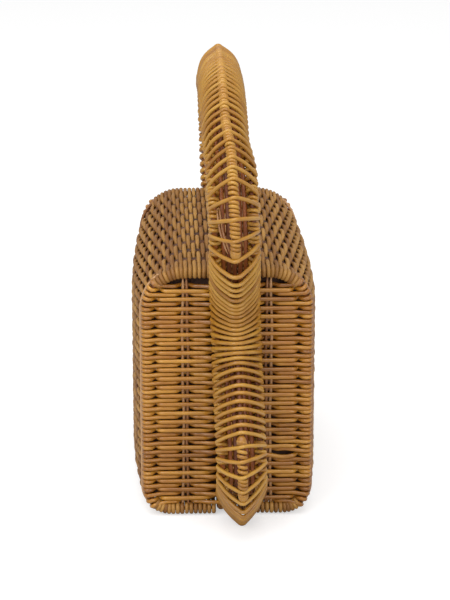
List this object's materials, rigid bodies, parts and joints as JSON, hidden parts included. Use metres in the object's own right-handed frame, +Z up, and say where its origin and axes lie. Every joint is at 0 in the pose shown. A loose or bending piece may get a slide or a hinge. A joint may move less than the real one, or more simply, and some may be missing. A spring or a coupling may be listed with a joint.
{
  "type": "woven rattan box handbag",
  "caption": "Woven rattan box handbag: two shells hinged along the bottom seam like a clam, under a hoop handle of ridged, cane-wrapped section that runs down both ends.",
  "frame": {"origin": "on the ground, below the middle of the bag", "axes": "+X along the bag's length, -Y towards its front, +Z up"},
  "size_m": [0.3046, 0.116, 0.2758],
  "materials": {
    "woven_cane": "matt, dry woven rattan",
    "end_weave": "satin, lacquered woven rattan",
    "frame_rattan": "satin, lacquered rattan",
    "rib_rattan": "satin rattan core",
    "handle_wrap": "satin, lacquered cane wrap",
    "handle_rod": "satin rattan rod",
    "hinge_cane": "satin cane binding",
    "lining_cloth": "matt woven cloth",
    "catch_wood": "satin wood",
    "magnet_steel": "brushed"
  },
  "bodies": {
    "back_shell": {"back_seam_rim": "frame_rattan", "back_woven_shell": "woven_cane", "back_lining": "lining_cloth", "back_catch_block": "catch_wood", "back_catch_magnet": "magnet_steel", "back_end_frame_left": "frame_rattan", "back_end_frame_right": "frame_rattan", "back_end_panel_left": "end_weave", "back_end_panel_right": "end_weave", "back_stakes_left": "rib_rattan", "back_stakes_right": "rib_rattan", "back_rib_1": "rib_rattan", "back_rib_2": "rib_rattan", "back_rib_3": "rib_rattan", "back_rib_4": "rib_rattan", "back_rib_5": "rib_rattan", "back_rib_6": "rib_rattan", "back_rib_7": "rib_rattan", "back_rib_8": "rib_rattan", "back_rib_9": "rib_rattan", "back_rib_10": "rib_rattan", "handle_edge_rod_front": "handle_rod", "handle_edge_rod_back": "handle_rod", "handle_ridge": "handle_wrap"},
    "front_shell": {"front_seam_rim": "frame_rattan", "front_woven_shell": "woven_cane", "front_lining": "lining_cloth", "front_catch_block": "catch_wood", "front_catch_magnet": "magnet_steel", "front_end_frame_left": "frame_rattan", "front_end_frame_right": "frame_rattan", "front_end_panel_left": "end_weave", "front_end_panel_right": "end_weave", "front_stakes_left": "rib_rattan", "front_stakes_right": "rib_rattan", "front_rib_1": "rib_rattan", "front_rib_2": "rib_rattan", "front_rib_3": "rib_rattan", "front_rib_4": "rib_rattan", "front_rib_5": "rib_rattan", "front_rib_6": "rib_rattan", "front_rib_7": "rib_rattan", "front_rib_8": "rib_rattan", "front_rib_9": "rib_rattan", "front_rib_10": "rib_rattan", "hinge_loop_1": "hinge_cane", "hinge_loop_2": "hinge_cane"}
  },
  "joints": [
    {"name": "front_shell_hinge", "type": "hinge", "parent": "back_shell", "child": "front_shell", "pos_m": [0, 0.0034, 0.0042], "axis": [1, 0, 0], "range_deg": [0, 95]}
  ]
}
